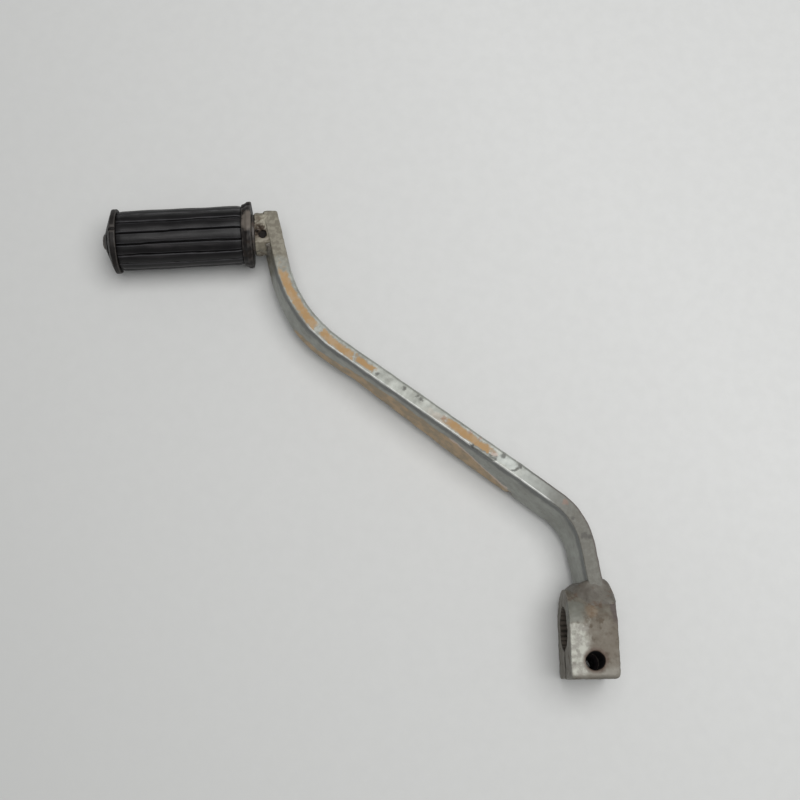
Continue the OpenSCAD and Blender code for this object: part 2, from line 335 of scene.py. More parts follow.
def roughen(piece, layers, sink=0.0):
    """Pushes points along their normals by a sum of waves: (height, wavelength, seed)."""
    points, normals = read_points(piece.data), read_normals(piece.data)
    push = sum(height * waves(points, length, seed) for height, length, seed in layers) - sink
    write_points(piece.data, points + normals * push[:, None])


# %% Clamp boss
boss = fused_copy("worn_boss", ["clamp_boss"], 0.24, 5)
roughen(boss, [(0.07, 7, 11), (0.03, 2.4, 12)], 0.04)
mark_edges(boss)

# %% Weld round the foot of the bar
BOSS_R, WELD_TOP, WELD_SINK = 13.85, 16.6, 0.8
FLARE_RIGHT, FLARE_LEFT = 3.2, 6.4
SQUARENESS = 0.4


def weld_collar():
    """A closed ring of weld metal round the bar's foot: [levels, points round, (x, y, z)].

    Each level is a rounded box, half_x * |cos a|^0.4 by half_z * |sin a|^0.4. The metal flares
    out at its foot, and spread is the share of the flare left at each height. The lowest level
    follows the boss, y = sqrt(R^2 - z^2) less a small sink. The others rise from it to the weld's
    top and lean with the bar. Two small rings inside close the ring of metal.
    """
    angle = np.linspace(0, 2 * np.pi, 220, endpoint=False)[None, :]
    rise = np.linspace(0, 1, 22)[:, None]
    c, s = np.cos(angle), np.sin(angle)
    leg = np.where(c > 0, FLARE_RIGHT, FLARE_LEFT) * np.abs(c) ** SQUARENESS
    spread = np.cos(rise * np.pi / 2) ** np.where(c > 0, 0.22, 0.62)
    half_x = 2.55 + leg * spread - 0.6 * rise ** 6
    half_z = 9.6 + 2.6 * (1 - rise) ** 2 - 0.7 * rise ** 6
    x = half_x * np.sign(c) * np.abs(c) ** SQUARENESS
    z = half_z * np.sign(s) * np.abs(s) ** SQUARENESS
    foot = np.sqrt(np.maximum(BOSS_R ** 2 - z ** 2, 4)) - WELD_SINK
    y = foot + (WELD_TOP + 0.3 * c - foot) * rise
    x = x + BAR_START[0] - y * math.tan(HEADINGS[0] - math.pi / 2)
    x -= np.where(c < 0, 2.4 * (0.5 - z / 18), 0)
    outside = np.stack([x, y, z], -1)
    core = [np.stack([BAR_START[0] - 2.4 + 1.2 * c[0], height + 0 * c[0], 7.5 * s[0]], -1)[None]
            for height in (9.0, 15.5)]
    return np.concatenate([core[0], outside, core[1]])


collar = weld_collar()
rows, cols = collar.shape[:2]
boss_weld = new_piece("boss_weld", collar.reshape(-1, 3),
                      [face[::-1] for face in grid_faces(rows, cols, True)])
roughen(boss_weld, [(0.17, 7.0, 21), (0.05, 2.6, 22)], 0.1)
mark_edges(boss_weld)

# %% Stub and its crater
stub = fused_copy("peg_stub_worn", ["peg_stub"], 0.2, 4)
points = read_points(stub.data)
CRATER_AT, CRATER_R, CRATER_DEPTH = np.array([-118.9, 149.4, 6.0]), 2.0, 1.5
crater = np.exp(-(np.linalg.norm(points - CRATER_AT, axis=1) / CRATER_R) ** 2)
points[:, 2] -= CRATER_DEPTH * crater * (1 + 0.4 * waves(points, 1.6, 31))
points[:, 2] = np.minimum(points[:, 2], 6.1 + 0.75 * np.maximum(-117.6 - points[:, 0], 0))
write_points(stub.data, points)
roughen(stub, [(0.12, 4, 32), (0.05, 1.7, 33)], 0.05)
mark_edges(stub)

# %% Weld under the stub
stub_weld = fused_copy("stub_weld_bead", ["stub_weld"], 0.2, 3)
roughen(stub_weld, [(0.2, 3.5, 41), (0.08, 1.6, 42)], 0.05)
mark_edges(stub_weld)

# %% [markdown]
# ## The foot peg
# Everything on the peg is round, so each piece is a closed outline turned about the peg's
# axis. Its points may shift with the angle, which gives the ribs, a notch and uneven rims.

# %% Axis of the peg
PEG_START = np.array([-120.3, 149.8, 0.0])
SPLAY = math.radians(183.4)
OUTWARD = np.array([math.cos(SPLAY), math.sin(SPLAY), 0])
DOWN = np.array([0, 0, -1.0])
SIDE = np.cross(OUTWARD, DOWN)


def turned(name, outline, turns, shape=None):
    """Turns a closed outline of (distance along, radius) about the peg's axis.

    The point at angle a is start + t * outward + r * (cos a * down + sin a * side), with (t, r)
    changed first by the function shape(a, t, r).
    """
    angle = np.linspace(0, 2 * np.pi, turns, endpoint=False)[:, None]
    t, r = outline[None, :, 0] + 0 * angle, outline[None, :, 1] + 0 * angle
    if shape:
        t, r = shape(angle, t, r)
    spoke = np.cos(angle)[..., None] * DOWN + np.sin(angle)[..., None] * SIDE
    points = PEG_START + t[..., None] * OUTWARD + r[..., None] * spoke
    return new_piece(name, points.reshape(-1, 3), grid_faces(turns, len(outline), True))


def closed_outline(corners, soft, spacing=0.25):
    """A rounded closed outline: every corner becomes a short curve, and the edges are filled
    with points about a spacing apart. Corners run anticlockwise in (along, radius)."""
    corners = np.array(corners, float)
    before, after = np.roll(corners, 1, axis=0), np.roll(corners, -1, axis=0)
    reach = np.minimum(np.linalg.norm(before - corners, axis=1), np.linalg.norm(after - corners, axis=1))
    reach = np.minimum(0.45 * reach, soft)[:, None]
    to_before = (before - corners) / np.linalg.norm(before - corners, axis=1, keepdims=True)
    to_after = (after - corners) / np.linalg.norm(after - corners, axis=1, keepdims=True)
    t = np.linspace(0, 1, 6)[None, :, None]
    start, end = (corners + reach * to_before)[:, None], (corners + reach * to_after)[:, None]
    curve = (1 - t) ** 2 * start + 2 * t * (1 - t) * corners[:, None] + t ** 2 * end
    parts = []
    for k in range(len(corners)):
        a, b = curve[k, -1], curve[(k + 1) % len(corners), 0]
        count = int(np.linalg.norm(b - a) / spacing)
        f = (np.arange(1, count + 1) / (count + 1))[:, None]
        parts += [curve[k], a * (1 - f) + b * f]
    return np.concatenate(parts)


# %% Ribbed rubber
RIBS, RIB_PHASE = 16, math.radians(16)
RUBBER_R, TUBE_R = 11.4, 6.9
RUBBER_FROM, RUBBER_TO = 4.7, 51.4
GROOVE = 1.55


def ribbed(angle, t, r):
    """Cuts grooves into the outside: the radius less GROOVE where |sin| of half the rib angle is
    small. Each rib is a little crowned, bulges unevenly and wanders slightly along the peg, and
    the end plates squeeze both ends in."""
    outside = smooth_step(r, RUBBER_R - 2.6, RUBBER_R - 1.4)
    drift = 0.09 * np.sin(t / 9 + 3 * angle) + 0.06 * np.sin(t / 3.1 + 7 * angle)
    across = np.abs(np.sin((angle - RIB_PHASE) * RIBS / 2 + drift))
    groove = 1 - smooth_step(across, 0.10, 0.30)
    crown = 0.14 * (1 - across ** 2)
    bulge = 0.12 * np.sin(t / 7.0 + 2 * angle) + 0.1 * np.sin(t / 2.3 + 5 * angle)
    squeezed = (0.35 * np.exp(-((t - RUBBER_FROM) / 1.2) ** 2)
                + 0.3 * np.exp(-((t - RUBBER_TO) / 1.2) ** 2))
    return t, r + outside * (-GROOVE * groove - crown + 0.5 * (bulge - 0.17) - squeezed)


rubber = turned("ribbed_rubber", closed_outline([
    (RUBBER_FROM, TUBE_R), (RUBBER_TO, TUBE_R), (RUBBER_TO, RUBBER_R), (RUBBER_FROM, RUBBER_R)],
    0.5, 0.7), 384, ribbed)
mark_edges(rubber, 3)

# %% Inner end plate, with a chipped rim
PLATE_FROM, PLATE_R = 1.0, 12.65


def chipped(angle, t, r):
    """Lets the rim wander by a few tenths of a millimetre, more where it has been knocked."""
    rim = smooth_step(r, 9, 12)
    knock = 0.5 * np.exp(-((angle - 3.9) / 0.12) ** 2) + 0.35 * np.exp(-((angle - 2.2) / 0.2) ** 2)
    wander = 0.1 * np.sin(5 * angle + 1) + 0.06 * np.sin(11 * angle) + 0.05 * np.sin(23 * angle + t)
    return t + 0.06 * np.sin(7 * angle + r), r + rim * (wander - 0.05 - knock)


plate = turned("inner_plate", closed_outline([
    (PLATE_FROM, TUBE_R), (4.7, TUBE_R), (4.7, 11.5), (3.3, 12.0), (2.6, PLATE_R),
    (PLATE_FROM, PLATE_R)], 0.45), 256, chipped)
mark_edges(plate)

# %% Outer cap: a thin rim, a cone and a notch
CAP_FROM, CAP_R = 51.4, 12.4
NOTCH_AT = 3.17


def notched(angle, t, r):
    """Presses one short notch into the rim and lets the rim and the cone wander slightly."""
    rim = smooth_step(r, 10.5, 11.8)
    notch = 0.7 * np.exp(-((angle - NOTCH_AT) / 0.045) ** 2)
    wander = 0.07 * np.sin(4 * angle) + 0.06 * np.sin(9 * angle + 2)
    dish = 0.12 * np.sin(3 * angle + r / 2) + 0.06 * np.sin(8 * angle - r)
    outer = smooth_step(t, CAP_FROM + 1.6, CAP_FROM + 2.2)
    return t + outer * (dish - 0.15 - 0.5 * notch * rim), r + rim * (wander - 0.15 - notch)


cap = turned("outer_cap", closed_outline([
    (CAP_FROM, TUBE_R), (53.8, TUBE_R), (53.8, 3.1), (55.4, 3.1), (55.4, 6.7), (53.6, CAP_R - 0.2),
    (53.2, CAP_R), (CAP_FROM, CAP_R)], 0.4), 256, notched)
mark_edges(cap)

# %% Rivet washer and the spindle with its hammered head
def hammered(angle, t, r):
    """Dents the turned surface with a few flats, as hammer blows leave."""
    blow = 0.07 * np.sin(3 * angle + 2 * r) + 0.05 * np.sin(5 * angle - 3 * r + 1)
    outer = smooth_step(t, 55.8, 56.6)
    return t - outer * np.abs(blow), r * (1 - 0.02 * outer * (1 + np.sin(4 * angle)))


washer = turned("rivet_washer_worn", closed_outline([
    (55.5, 2.5), (56.6, 2.5), (56.6, 3.5), (55.5, 6.35)], 0.25, 0.2), 160, hammered)
spindle = turned("spindle_riveted", closed_outline([
    (-6.5, 0.01), (57.7, 0.01), (57.65, 1.6), (57.3, 2.7), (56.62, 3.2), (56.6, 2.5), (53.5, 2.5),
    (53.5, 4.0), (-6.5, 4.0)], 0.2, 0.6), 128, hammered)
mark_edges(washer)
mark_edges(spindle)

# %% Say what each piece rides on and stands for
for piece, body, slot, nodes in [
        (lever_bar, "lever", "plated_steel", ["lever_arm"]),
        (boss, "lever", "boss_steel", ["clamp_boss"]),
        (boss_weld, "lever", "weld_metal", ["boss_weld_inner", "boss_weld_outer",
                                            "boss_weld_front", "boss_weld_back"]),
        (stub, "lever", "stub_steel", ["peg_stub"]),
        (stub_weld, "lever", "weld_metal", ["stub_weld"]),
        (spindle, "lever", "pin_steel", ["peg_spindle"]),
        (washer, "lever", "dark_steel", ["rivet_washer"]),
        (rubber, "peg", "peg_rubber", ["rubber_grip"]),
        (plate, "peg", "dark_steel", ["inner_end_plate"]),
        (cap, "peg", "dark_steel", ["outer_end_cap"])]:
    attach(piece, body)
    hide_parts(*nodes)

# %% [markdown]
# ## Helpers for finishes
# Each finish is a tree of nodes. Effects that several finishes share are node groups with
# named inputs: a mottle, a soft window on a value, and masks of raised edges and hollows for
# worn edges and painted light.

# %% Add a node and wire it in one line
def put(tree, kind, values=None, out=0, **settings):
    """Adds a node. A value that is a socket is linked, any other is set as a number."""
    made = tree.nodes.new("ShaderNode" + kind)
    for key, value in settings.items():
        setattr(made, key, value)
    for key, value in (values or {}).items():
        if isinstance(value, bpy.types.NodeSocket):
            tree.links.new(value, made.inputs[key])
        else:
            made.inputs[key].default_value = value
    return made.outputs[out]


def calc(tree, operation, a, b=0.0, clamp=False):
    return put(tree, "Math", {0: a, 1: b}, operation=operation, use_clamp=clamp)


def mix(tree, amount, a, b):
    """Mixes two colours. A colour is a socket or three numbers."""
    full = [c if isinstance(c, bpy.types.NodeSocket) else (*c, 1) for c in (a, b)]
    return put(tree, "Mix", {0: amount, 6: full[0], 7: full[1]}, 2, data_type="RGBA")


def new_group(name, inputs, outputs):
    """Starts a node group: inputs and outputs are (name, socket type, value)."""
    tree = bpy.data.node_groups.new(name, "ShaderNodeTree")
    for label, kind, value in inputs:
        made = tree.interface.new_socket(label, in_out="INPUT", socket_type="NodeSocket" + kind)
        if value is not None:
            made.default_value = value
    for label, kind in outputs:
        tree.interface.new_socket(label, in_out="OUTPUT", socket_type="NodeSocket" + kind)
    return tree, tree.nodes.new("NodeGroupInput").outputs, tree.nodes.new("NodeGroupOutput")


def use(tree, group, values=None, out=0):
    """Places a group in a tree and wires its named inputs."""
    made = tree.nodes.new("ShaderNodeGroup")
    made.node_tree = group
    for key, value in (values or {}).items():
        if isinstance(value, bpy.types.NodeSocket):
            tree.links.new(value, made.inputs[key])
        else:
            made.inputs[key].default_value = value
    return made.outputs[out]


# %% Group: mottle, a noise in object space turned into a mask
mottle, given, result = new_group("mottle", [
    ("Size mm", "Float", 2.0), ("Detail", "Float", 4.0), ("From", "Float", 0.4),
    ("To", "Float", 0.6), ("Seed", "Float", 0.0)], [("Mask", "Float"), ("Noise", "Float")])
where = put(mottle, "TexCoord", out="Object")
cycles = calc(mottle, "DIVIDE", 1 / MM, given["Size mm"])
noise = put(mottle, "TexNoise", {"Vector": where, "W": given["Seed"], "Scale": cycles,
                                 "Detail": given["Detail"], "Roughness": 0.6}, noise_dimensions="4D")
mask = put(mottle, "MapRange", {"Value": noise, "From Min": given["From"], "From Max": given["To"]},
           interpolation_type="SMOOTHSTEP")
mottle.links.new(mask, result.inputs["Mask"])
mottle.links.new(noise, result.inputs["Noise"])

# %% Group: window, 1 between two values with soft ends
window, given, result = new_group("window", [
    ("Value", "Float", 0.0), ("From", "Float", 0.0), ("To", "Float", 1.0), ("Soft", "Float", 0.1)],
    [("Mask", "Float")])
ends = []
for label in ("From", "To"):
    low = calc(window, "SUBTRACT", given[label], given["Soft"])
    high = calc(window, "ADD", given[label], given["Soft"])
    ends.append(put(window, "MapRange", {"Value": given["Value"], "From Min": low, "From Max": high},
                    interpolation_type="SMOOTHSTEP"))
window.links.new(calc(window, "SUBTRACT", ends[0], ends[1], True), result.inputs["Mask"])

# %% Group: masks of raised edges and hollows, from the attribute that the shapes carry, for worn edges and for painted highlight and painted shade on the rubber
edge_wear_and_painted_light, given, result = new_group("edge_wear_and_painted_light", [
    ("From", "Float", 0.3), ("To", "Float", 0.9), ("Break up", "Float", 0.5)],
    [("Raised", "Float"), ("Hollow", "Float")])
stored = put(edge_wear_and_painted_light, "Attribute", attribute_name="edge", out="Fac")
broken = use(edge_wear_and_painted_light, mottle, {"Size mm": 1.6, "Detail": 5.0}, "Noise")
shift = calc(edge_wear_and_painted_light, "MULTIPLY", calc(edge_wear_and_painted_light, "SUBTRACT", broken, 0.5), given["Break up"])
for label, sign in (("Raised", 1.0), ("Hollow", -1.0)):
    height = calc(edge_wear_and_painted_light, "ADD", calc(edge_wear_and_painted_light, "MULTIPLY", stored, sign), shift)
    mask = put(edge_wear_and_painted_light, "MapRange", {"Value": height, "From Min": given["From"],
                                       "From Max": given["To"]}, interpolation_type="SMOOTHSTEP")
    edge_wear_and_painted_light.links.new(mask, result.inputs[label])
print("groups:", [group.name for group in bpy.data.node_groups])


# %% Start and finish a material
def start(name):
    """A new material, with its tree and its shader."""
    material = bpy.data.materials.new(name)
    material.use_nodes = True
    tree = material.node_tree
    return material, tree, tree.nodes["Principled BSDF"]


def finish(tree, shader, colour, rough, height, strength, distance=0.1, metal=0.0):
    """Wires colour, roughness and bump into the shader."""
    tree.links.new(colour, shader.inputs["Base Color"])
    tree.links.new(rough, shader.inputs["Roughness"])
    normal = put(tree, "Bump", {"Height": height, "Strength": strength, "Distance": distance * MM})
    tree.links.new(normal, shader.inputs["Normal"])
    if isinstance(metal, bpy.types.NodeSocket):
        tree.links.new(metal, shader.inputs["Metallic"])
    else:
        shader.inputs["Metallic"].default_value = metal


def either(tree, *masks):
    """The largest of several masks."""
    total = masks[0]
    for mask in masks[1:]:
        total = calc(tree, "MAXIMUM", total, mask)
    return total


def both(tree, *masks):
    """The product of several masks."""
    total = masks[0]
    for mask in masks[1:]:
        total = calc(tree, "MULTIPLY", total, mask)
    return total


def without(tree, mask):
    """1 where a mask is 0, and the other way round."""
    return calc(tree, "SUBTRACT", 1.0, mask)


def plus(tree, value, other, amount):
    """value + amount * other."""
    return calc(tree, "ADD", value, calc(tree, "MULTIPLY", other, amount))


def tint(tree, mask, amount, colour, new):
    """Lays a new colour over another where a mask is 1, by an amount from 0 to 1."""
    return mix(tree, calc(tree, "MULTIPLY", mask, amount), colour, new)


def within(tree, value, low, high, soft):
    """1 where a value lies between two others, with soft ends."""
    return use(tree, window, {"Value": value, "From": low, "To": high, "Soft": soft})


FAR = 1000.0     # mm, past everything on the part


def near_to(tree, gap, radius, soft):
    """1 where a distance is under a radius, with a soft end."""
    return without(tree, within(tree, gap, radius, FAR, soft))


def distance(tree, a, b):
    return put(tree, "VectorMath", {0: a, 1: b}, "Value", operation="DISTANCE")


def distance_mm(tree, place):
    """Distance in mm from a place in mm, in object space."""
    where = put(tree, "TexCoord", out="Object")
    return calc(tree, "DIVIDE", distance(tree, where, tuple(c * MM for c in place)), MM)


def centred_noise(tree, size, detail, seed):
    """The plain noise of a mottle, moved down so that it swings about zero."""
    noise = use(tree, mottle, {"Size mm": size, "Detail": detail, "Seed": seed}, "Noise")
    return calc(tree, "SUBTRACT", noise, 0.5)


# %% [markdown]
# ## Finish of the bar
# Dull zinc-grey plating over steel. It has flaked off in ochre patches along the front and in
# a long tan band low on the inner side, and it is browned near the boss. Painted highlights run
# along the inner edge, the outer rim and the top of the tan band, with painted shade under the
# inner edge. The bar's own lengths place the patches, and noise breaks their outlines.

# %% Plated bar
PLATING, PLATING_LIGHT, PLATING_DARK = (0.23, 0.235, 0.21), (0.31, 0.32, 0.29), (0.068, 0.072, 0.072)
OCHRE, OCHRE_LIGHT = (0.35, 0.205, 0.080), (0.37, 0.245, 0.130)
TAN, TAN_DARK = (0.46, 0.33, 0.20), (0.33, 0.26, 0.175)
BROWN, BROWN_LIGHT, PURPLE = (0.125, 0.118, 0.10), (0.165, 0.16, 0.14), (0.10, 0.075, 0.07)
TARNISH, TARNISH_LIGHT = (0.14, 0.122, 0.09), (0.22, 0.20, 0.155)
GRIME, DULL, FRESH = (0.15, 0.145, 0.125), (0.13, 0.137, 0.13), (0.35, 0.37, 0.35)
RIM_HIGHLIGHT, PEEL_LIP_HIGHLIGHT, FAINT_OCHRE = (0.38, 0.385, 0.36), (0.64, 0.50, 0.42), (0.29, 0.225, 0.175)
DARK_SPOT, PINK_SPOT, DRIP_STAIN = (0.06, 0.055, 0.05), (0.26, 0.15, 0.11), (0.12, 0.08, 0.072)
CHIP, RIDGE_HIGHLIGHT = (0.125, 0.127, 0.115), (0.58, 0.58, 0.56)
plated, tree, shader = start("plated_bar")
stored = put(tree, "Attribute", attribute_name="place", out="Vector")
s, across, deep = [put(tree, "SeparateXYZ", {0: stored}, k) for k in range(3)]
wander = centred_noise(tree, 5.0, 6.0, 0.0)
fine = centred_noise(tree, 1.3, 5.0, 3.0)
s_rag, across_rag, deep_rag = [
    calc(tree, "ADD", straight, plus(tree, calc(tree, "MULTIPLY", wander, broad), fine, small))
    for straight, broad, small in ((s, 14.0, 4.0), (across, 3.0, 2.2), (deep, 4.0, 2.5))]
front = within(tree, deep, -1.0, 0.45, 0.15)
inner = both(tree, within(tree, across, -4.0, 0.35, 0.2), calc(tree, "GREATER_THAN", deep, 0.3))

# %% Plating: cloudy, with dark specks and grime, a painted highlight on the outer rim, and painted shade under the inner edge
cloud = use(tree, mottle, {"Size mm": 7.0, "Detail": 5.0, "From": 0.35, "To": 0.65, "Seed": 1.0})
speck = use(tree, mottle, {"Size mm": 0.9, "Detail": 3.0, "From": 0.66, "To": 0.74, "Seed": 5.0})
colour = mix(tree, cloud, PLATING, PLATING_LIGHT)
colour = tint(tree, speck, 0.5, colour, PLATING_DARK)
grime = use(tree, mottle, {"Size mm": 2.0, "Detail": 6.0, "From": 0.42, "To": 0.66, "Seed": 19.0})
colour = tint(tree, grime, 0.35, colour, GRIME)
# Painted highlight: the outer rim of the front is lightened against the shade of its rounded edge.
rim = both(tree, within(tree, across, 4.75, 8.0, 0.2),
           within(tree, deep, -1.0, 1.4, 0.4))
colour = tint(tree, rim, 0.8, colour, RIM_HIGHLIGHT)
# Painted shade: a dark band on the inner side just under the edge.
shade_under_ridge = both(tree, inner, within(tree, deep_rag, 0.3, 3.8, 1.3))
colour = tint(tree, shade_under_ridge, 0.78, colour, PLATING_DARK)
dull = both(tree, front, within(tree, s_rag, -20.0, 66.0, 5.0))
colour = tint(tree, dull, 0.55, colour, DULL)

# %% Tan band on the inner side
lower_end = put(tree, "MapRange", {"Value": s, "From Min": 66.0, "From Max": 90.0,
                                   "To Min": 9.0, "To Max": 0.0})
upper_end = put(tree, "MapRange", {"Value": s, "From Min": 122.0, "From Max": 165.0, "To Max": 4.5})
below = calc(tree, "SUBTRACT", calc(tree, "SUBTRACT", deep_rag, lower_end), upper_end)
span = within(tree, s_rag, 65.0, 164.0, 2.0)
band = both(tree, inner, span, within(tree, below, 6.8, 40.0, 0.5))
tan_mix = mix(tree, use(tree, mottle, {"Size mm": 4.0, "From": 0.4, "To": 0.6, "Seed": 7.0}), TAN, TAN_DARK)
colour = tint(tree, band, 0.92, colour, tan_mix)
# Painted highlight: a pale pink line along the upper edge of the tan band, as light on the peeled edge.
peel_lip_highlight = both(tree, inner, within(tree, below, 6.0, 7.3, 0.3),
           within(tree, s_rag, 66.0, 94.0, 2.0))
colour = tint(tree, peel_lip_highlight, 0.6, colour, PEEL_LIP_HIGHLIGHT)

# %% Ochre patches on the front
PATCHES = [(157.5, 184.5, 0.5, 3.5), (140.0, 154.0, 0.8, 3.6), (129.5, 138.2, 1.0, 3.4),
           (78.0, 98.0, 0.9, 3.6)]
patches = []
for low, high, near, far in PATCHES:
    patches.append(both(tree, within(tree, s_rag, low, high, 1.0),
                        within(tree, across_rag, near, far, 0.5)))
ochre = both(tree, front, either(tree, *patches))
ochre_mix = mix(tree, use(tree, mottle, {"Size mm": 3.0, "From": 0.45, "To": 0.62, "Seed": 9.0}),
                OCHRE, OCHRE_LIGHT)
colour = tint(tree, ochre, 0.9, colour, ochre_mix)
faint = both(tree, front, within(tree, s_rag, 95.0, 105.0, 2.0),
             within(tree, across_rag, 0.4, 2.8, 0.6))
colour = tint(tree, faint, 0.4, colour, FAINT_OCHRE)

# %% Browned metal near the boss and tarnish at the peg end
brown = both(tree, front, within(tree, s_rag, -20.0, 50.0, 11.0))
brown_mix = mix(tree, use(tree, mottle, {"Size mm": 1.2, "From": 0.35, "To": 0.7, "Seed": 11.0}), BROWN,
                BROWN_LIGHT)
colour = tint(tree, brown, 0.9, colour, brown_mix)
purple = both(tree, within(tree, across, 4.5, 20.0, 0.3),
              within(tree, s_rag, -20.0, 60.0, 6.0))
colour = tint(tree, purple, 0.6, colour, PURPLE)
tarnish = within(tree, s_rag, 186.0, 260.0, 4.0)
tarnish_mix = mix(tree, use(tree, mottle, {"Size mm": 1.4, "From": 0.42, "To": 0.6, "Seed": 13.0}),
                  TARNISH, TARNISH_LIGHT)
colour = tint(tree, tarnish, 0.9, colour, tarnish_mix)

# %% Dark spots and nicks
spot_at = put(tree, "CombineXYZ", {0: s, 1: across, 2: 0.0})
DARK_SPOTS = [(116.8, 3.0, 0.6), (109.5, 3.4, 0.6), (111.2, 3.7, 0.4), (73.3, 3.7, 0.8), (66.2, 4.1, 0.7),
              (32.2, 2.2, 1.2), (31.6, 3.6, 0.9), (39.8, 1.1, 0.6), (84.3, 0.3, 0.5), (75.2, 1.0, 0.5),
              (128.0, 1.8, 0.5)]
PINK_SPOTS = [(99.0, 2.6, 0.6), (84.0, 3.9, 0.6), (76.5, 2.3, 0.9), (88.0, 3.8, 0.5), (46.0, 3.0, 1.0)]


def spots_mask(places):
    """A soft, ragged-edged mask with a spot of the given radius at every (s, across, radius)."""
    masks = []
    for at_s, at_across, size in places:
        gap = distance(tree, spot_at, (at_s, at_across, 0.0))
        gap = plus(tree, gap, fine, 3.0)
        masks.append(near_to(tree, gap, size, 0.45))
    return both(tree, either(tree, *masks), top_part)


top_part = within(tree, deep, -1.0, 1.5, 0.2)
fresh = both(tree, front, within(tree, s_rag, 67.0, 75.5, 0.5),
             within(tree, across_rag, 0.7, 4.2, 0.4))
colour = tint(tree, fresh, 0.6, colour, FRESH)
chip = both(tree, top_part, within(tree, s_rag, 74.8, 84.5, 0.5),
            within(tree, across_rag, -4.0, 1.0, 0.2))
colour = tint(tree, chip, 0.8, colour, CHIP)
# The hook is a thin curved scratch, s = 66.5 + 0.3 (across - 2.9)^2
bend = calc(tree, "MULTIPLY", calc(tree, "POWER", calc(tree, "SUBTRACT", across, 2.9), 2.0), 0.3)
hook_at = calc(tree, "SUBTRACT", plus(tree, s, fine, 2.0), bend)
hook = both(tree, front, within(tree, hook_at, 66.1, 66.9, 0.4),
            within(tree, across, 0.8, 4.5, 0.3))
spot = either(tree, spots_mask(DARK_SPOTS), hook)
colour = tint(tree, spots_mask(PINK_SPOTS), 0.5, colour, PINK_SPOT)
colour = tint(tree, spot, 0.62, colour, DARK_SPOT)
drip_stain = both(tree, within(tree, s, 63.5, 65.3, 0.3),
                  calc(tree, "GREATER_THAN", deep, 16.5), inner)
colour = tint(tree, drip_stain, 0.8, colour, DRIP_STAIN)

# %% Painted highlight on the inner edge
# Painted highlight: a near-white line along the inner edge, broken up by noise.
ridge_highlight = both(tree, within(tree, across, -0.5, 0.42, 0.12),
             within(tree, deep, -0.5, 0.42, 0.12),
             within(tree, s_rag, 50.0, 160.0, 4.0))
highlight_gaps = use(tree, mottle, {"Size mm": 3.5, "Detail": 5.0, "From": 0.38, "To": 0.6, "Seed": 17.0})
ridge_highlight = both(tree, ridge_highlight, without(tree, either(tree, spot, chip)),
             plus(tree, 0.5, highlight_gaps, 0.5))
colour = tint(tree, ridge_highlight, 0.8, colour, RIDGE_HIGHLIGHT)
bare = either(tree, ochre, band, spot, brown, tarnish, rim)
rough = plus(tree, 0.42, bare, 0.35)
metal = calc(tree, "MULTIPLY", without(tree, bare), 0.28)
gone = either(tree, ochre, band, spot, chip)
relief = plus(tree, calc(tree, "MULTIPLY", gone, -1.0), fine, 0.8)
finish(tree, shader, colour, rough, relief, 0.5, 0.1, metal)
lever_bar.data.materials.append(plated)
print("bar finish has", len(tree.nodes), "nodes")

# %% [markdown]
# ## Finish of the boss, stub and welds
# Forged steel gone brown and blotchy, rubbed to pale grey on the clamp's flat front. The
# hole has a ring of rust, and its walls, the bore and the slit carry painted shade, near black.
# The stub, the welds and the plates use the same function with colours of their own.

# %% Rusted steel for several pieces
PIT_DEPTH = 0.35


def rusted(name, base, light, rust, wear, cover=0.5, shine=0.35):
    """Steel with cloudy rust, dark hollows and rubbed edges. Returns the parts to build on."""
    material, tree, shader = start(name)
    cloud = use(tree, mottle, {"Size mm": 4.5, "Detail": 6.0, "From": 0.36, "To": 0.64, "Seed": 2.0})
    colour = mix(tree, cloud, base, light)
    stain = use(tree, mottle, {"Size mm": 2.6, "Detail": 6.0, "From": 0.62 - 0.2 * cover,
                               "To": 0.72 - 0.1 * cover, "Seed": 6.0})
    colour = tint(tree, stain, 0.7, colour, rust)
    pit = use(tree, mottle, {"Size mm": 0.7, "Detail": 3.0, "From": 0.62, "To": 0.72, "Seed": 8.0})
    colour = tint(tree, pit, 0.6, colour, tuple(0.35 * c for c in base))
    raised = use(tree, edge_wear_and_painted_light, {"From": 0.35, "To": 1.0, "Break up": 1.2}, "Raised")
    hollow = use(tree, edge_wear_and_painted_light, {"From": 0.3, "To": 1.0, "Break up": 0.8}, "Hollow")
    colour = tint(tree, hollow, 0.6, colour, tuple(0.3 * c for c in base))
    colour = tint(tree, raised, 0.6, colour, wear)
    fine = use(tree, mottle, {"Size mm": 0.8, "Detail": 5.0, "Seed": 4.0}, "Noise")
    relief = calc(tree, "SUBTRACT", fine, calc(tree, "MULTIPLY", pit, PIT_DEPTH))
    rough = plus(tree, 0.5, stain, 0.3)
    metal = calc(tree, "MULTIPLY", without(tree, stain), shine)
    return material, tree, shader, colour, rough, relief, metal


# %% Clamp boss
HOLE_AT, HOLE_WALL, RING_R = (0.0, -12.05, 0.0), 3.45, 4.3
BORE_WALL, TOOTH_TIP, SLIT_HALF, SLIT_TOP = 7.9, 7.3, 0.95, -5.0
FLAT_FROM = 13.2     # height of the clamp's flat front
worn, tree, shader, colour, rough, relief, metal = rusted(
    "worn_boss_steel", (0.12, 0.102, 0.08), (0.17, 0.158, 0.13), (0.082, 0.053, 0.035),
    (0.22, 0.21, 0.18), 0.42, 0.15)
where = put(tree, "TexCoord", out="Object")
x, y, z = [calc(tree, "DIVIDE", put(tree, "SeparateXYZ", {0: where}, k), MM) for k in range(3)]
drift = centred_noise(tree, 4.0, 5.0, 12.0)
x_rag = plus(tree, x, drift, 7.0)
y_rag = plus(tree, y, drift, 7.0)
on_flat = within(tree, z, FLAT_FROM, 40.0, 0.4)
rubbed = both(tree, on_flat, within(tree, x_rag, -30.0, -2.4, 1.2),
              within(tree, y_rag, -16.6, 0.8, 0.8))
